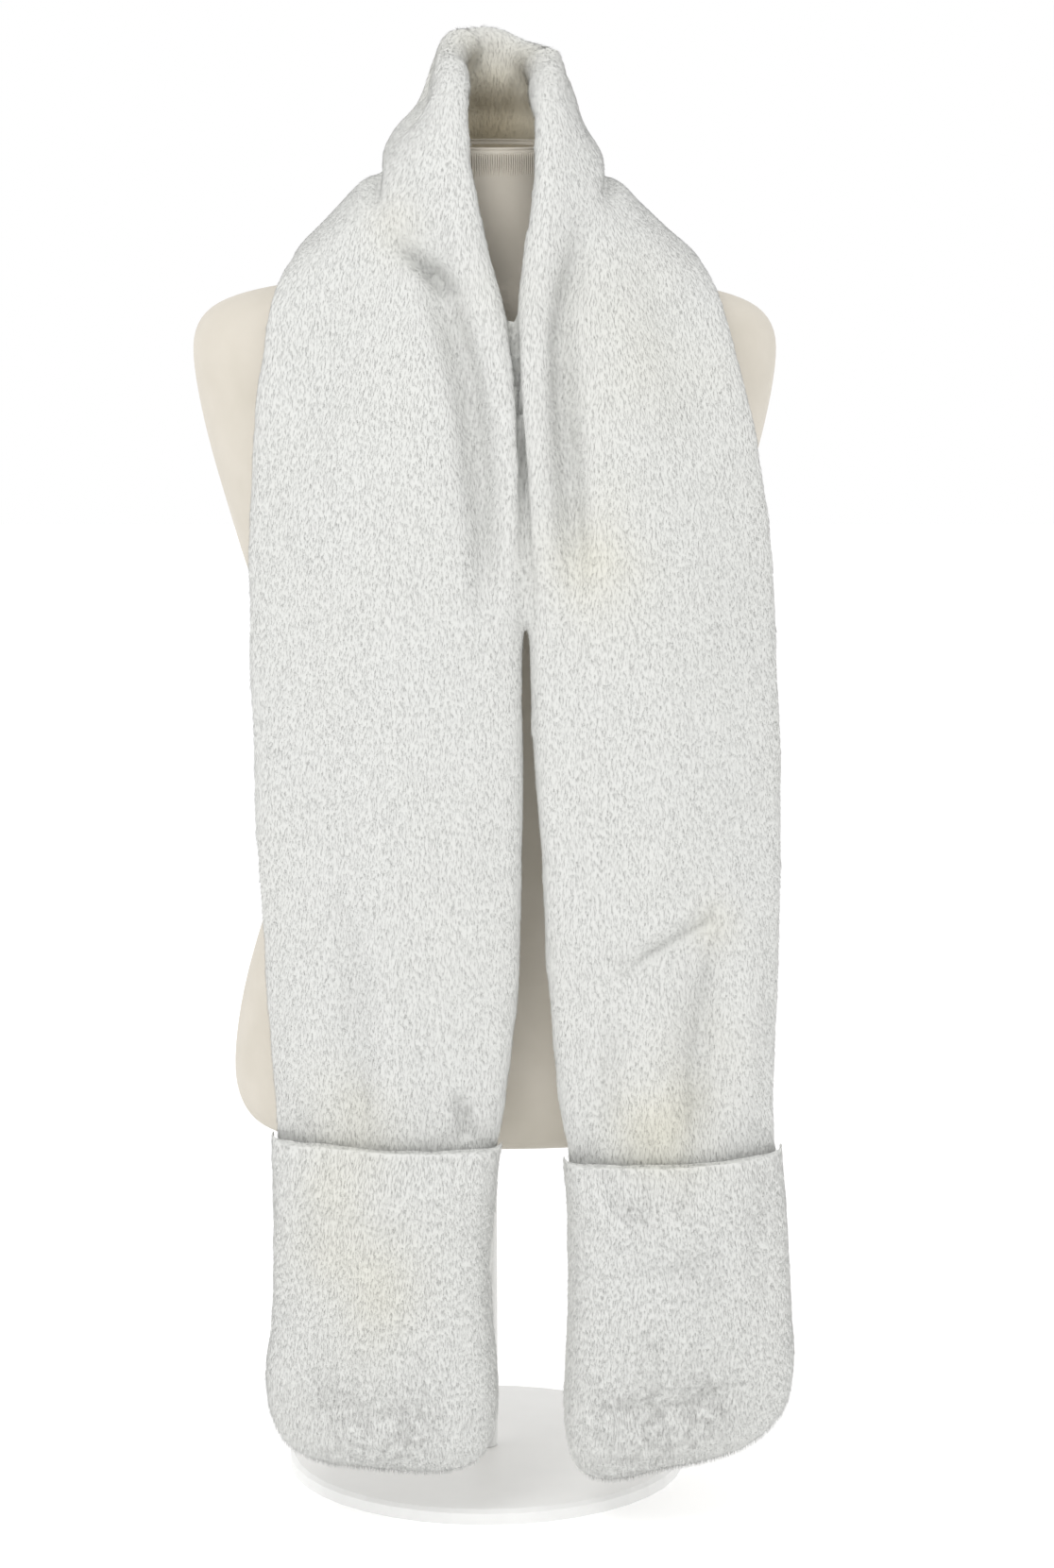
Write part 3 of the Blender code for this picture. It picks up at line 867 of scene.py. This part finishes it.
def rib_tree():
    """Ribs set at even steps round a ring, upright."""
    tree = bpy.data.node_groups.new("gathered_ribs", "GeometryNodeTree")
    face = tree.interface
    face.new_socket("Geometry", in_out="INPUT", socket_type="NodeSocketGeometry")
    for label, kind in (
        ("Rib", "NodeSocketObject"),
        ("Count", "NodeSocketInt"),
        ("Size", "NodeSocketVector"),
        ("Finish", "NodeSocketMaterial"),
    ):
        face.new_socket(label, in_out="INPUT", socket_type=kind)
    face.new_socket("Geometry", in_out="OUTPUT", socket_type="NodeSocketGeometry")
    nodes, link = tree.nodes, tree.links.new
    given = nodes.new("NodeGroupInput")
    result = nodes.new("NodeGroupOutput")
    ring = nodes.new("GeometryNodeMeshToCurve")
    link(given.outputs["Geometry"], ring.inputs["Mesh"])
    steps = nodes.new("GeometryNodeCurveToPoints")
    link(ring.outputs["Curve"], steps.inputs["Curve"])
    link(given.outputs["Count"], steps.inputs["Count"])
    rib = nodes.new("GeometryNodeObjectInfo")
    link(given.outputs["Rib"], rib.inputs["Object"])
    placed = nodes.new("GeometryNodeInstanceOnPoints")
    link(steps.outputs["Points"], placed.inputs["Points"])
    link(rib.outputs["Geometry"], placed.inputs["Instance"])
    link(given.outputs["Size"], placed.inputs["Scale"])
    real = nodes.new("GeometryNodeRealizeInstances")
    link(placed.outputs["Instances"], real.inputs["Geometry"])
    painted = nodes.new("GeometryNodeSetMaterial")
    link(real.outputs["Geometry"], painted.inputs["Geometry"])
    link(given.outputs["Finish"], painted.inputs["Material"])
    link(painted.outputs["Geometry"], result.inputs["Geometry"])
    return tree


def neck_ribs(finish):
    """Fine gathers of the jersey just below the edge of the neck."""
    ring = neck_ring(RIB_HALF_SIZES, RIB_Z, 120)
    data = bpy.data.meshes.new("neck_ribs")
    data.from_pydata([tuple(p) for p in ring], [(k, (k + 1) % 120) for k in range(120)], [])
    ribs = object_from_mesh("neck_ribs", data)
    rib = rib_mesh()
    set_tree(ribs, rib_tree(), {"Rib": rib, "Count": RIB_COUNT, "Size": (0.62 * MM, 0.62 * MM, 10.5 * MM), "Finish": finish})
    bpy.data.objects.remove(rib, do_unlink=True)
    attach(ribs, "root")


def set_tree(obj, tree, values):
    """Runs a tree on an object with the given inputs and keeps the mesh it makes."""
    modifier = obj.modifiers.new(tree.name, "NODES")
    modifier.node_group = tree
    keys = {item.name: item.identifier for item in tree.interface.items_tree if item.in_out == "INPUT"}
    for label, value in values.items():
        modifier[keys[label]] = value
    settle_modifiers(obj)


def towards_viewer(points, normals):
    """More pile where the cloth faces away from the form."""
    away = np.stack((points[:, 0] * 0.8, points[:, 1], np.full(len(points), 0.03)), axis=1)
    away /= np.linalg.norm(away, axis=1)[:, None]
    share = np.clip((normals * away).sum(axis=1) * 1.4 + 0.62, 0.12, 1.0)
    return np.where(points[:, 2] > 0.89, np.maximum(share, 0.85), share)


def half_weights(side, collar):
    def weigh(points, normals):
        share = towards_viewer(points, normals)
        high = points[:, 2] > COLLAR_SPLIT_Z
        right = points[:, 0] > COLLAR_SPLIT_X
        return share * (high if collar else ~high) * (right if side > 0 else ~right)

    return weigh


def studio():
    """A pale floor, a white surround and large soft lights."""
    bpy.ops.mesh.primitive_plane_add(size=14.0, location=(0, 0, 0))
    floor = bpy.context.object
    floor.name = "floor"
    pale, shader = base_material("pale_floor", 0.9)
    shader.inputs["Base Color"].default_value = (0.95, 0.95, 0.95, 1)
    shader.inputs["Emission Color"].default_value = (1.0, 1.0, 1.0, 1)
    shader.inputs["Emission Strength"].default_value = 0.22
    floor.data.materials.append(pale)
    world = bpy.data.worlds.new("surround")
    bpy.context.scene.world = world
    world.use_nodes = True
    sky = world.node_tree.nodes["Background"]
    sky.inputs["Color"].default_value = (1.0, 1.0, 1.0, 1)
    sky.inputs["Strength"].default_value = 1.0
    soft_light("key", (-0.9, -1.9, 2.3), (0, 0, 0.7), 1.1, 16)
    soft_light("fill", (1.6, -1.8, 1.3), (0, 0, 0.6), 1.6, 2)


def soft_light(name, place, target, size, power):
    lamp = bpy.data.lights.new(name, "AREA")
    lamp.shape = "DISK"
    lamp.size = size
    lamp.energy = power
    obj = bpy.data.objects.new(name, lamp)
    obj.location = place
    obj.rotation_euler = (Vector(target) - Vector(place)).to_track_quat("-Z", "Y").to_euler()
    bpy.context.scene.collection.objects.link(obj)


def camera():
    lens = bpy.data.cameras.new("camera")
    lens.sensor_fit = "VERTICAL"
    lens.sensor_height = 36.0
    lens.lens = CAMERA_LENS
    obj = bpy.data.objects.new("camera", lens)
    obj.location = CAMERA_AT
    obj.rotation_euler = (math.radians(90 - CAMERA_DOWN_DEG), 0, 0)
    bpy.context.scene.collection.objects.link(obj)
    bpy.context.scene.camera = obj


def main():
    camera()
    studio()
    bpy.context.scene.view_settings.view_transform = "Standard"
    tone = pile_tone_group()
    knit = knit_group()
    plush = plush_material("plush", tone, (0.67, 0.675, 0.655), (0.40, 0.40, 0.385), (0.68, 0.66, 0.55), 0.8, 0.8, 0.16, 0.12)
    strands = plush_material("plush_strands", tone, (0.68, 0.685, 0.665), (0.42, 0.42, 0.405), (0.69, 0.67, 0.56), 0.8, 0.8, 0.0, 0.12)
    jersey = jersey_material("jersey", knit, (0.66, 0.615, 0.54), (0.57, 0.53, 0.45), 0.35)
    cap_cloth = jersey_material("cap_cloth", knit, (0.40, 0.34, 0.24), (0.32, 0.27, 0.19), 0.3)
    lacquer = lacquer_material("lacquer")
    form_cover(jersey)
    neck_cap(cap_cloth)
    neck_binding(jersey)
    neck_ribs(jersey)
    body = scarf_body(plush)
    left = pocket_body("pocket_left_plush", "pocket_left", plush, 2)
    right = pocket_body("pocket_right_plush", "pocket_right", plush, 3)
    for node in ("stand_base", "stand_pole"):
        NODES[node].data.materials.clear()
        NODES[node].data.materials.append(lacquer)
    strand = strand_mesh()
    tree = pile_tree()
    down = (0.0, -0.15, -1.0)
    share = 1.0
    rows = (
        ("pile_panel_left", body, SCARF_DENSITY, half_weights(-1, False), "plush", 11),
        ("pile_panel_right", body, SCARF_DENSITY, half_weights(1, False), "plush", 12),
        ("pile_collar_left", body, SCARF_DENSITY, half_weights(-1, True), "plush", 13),
        ("pile_collar_right", body, SCARF_DENSITY, half_weights(1, True), "plush", 14),
        ("pile_pocket_left", left, POCKET_DENSITY, towards_viewer, "plush", 15),
        ("pile_pocket_right", right, POCKET_DENSITY, towards_viewer, "plush", 16),
    )
    for name, ground, density, weigh, slot, seed in rows:
        grow_pile(name, ground, tree, strand, strands, density * share, down, seed, weigh)
    bpy.data.objects.remove(strand, do_unlink=True)


main()
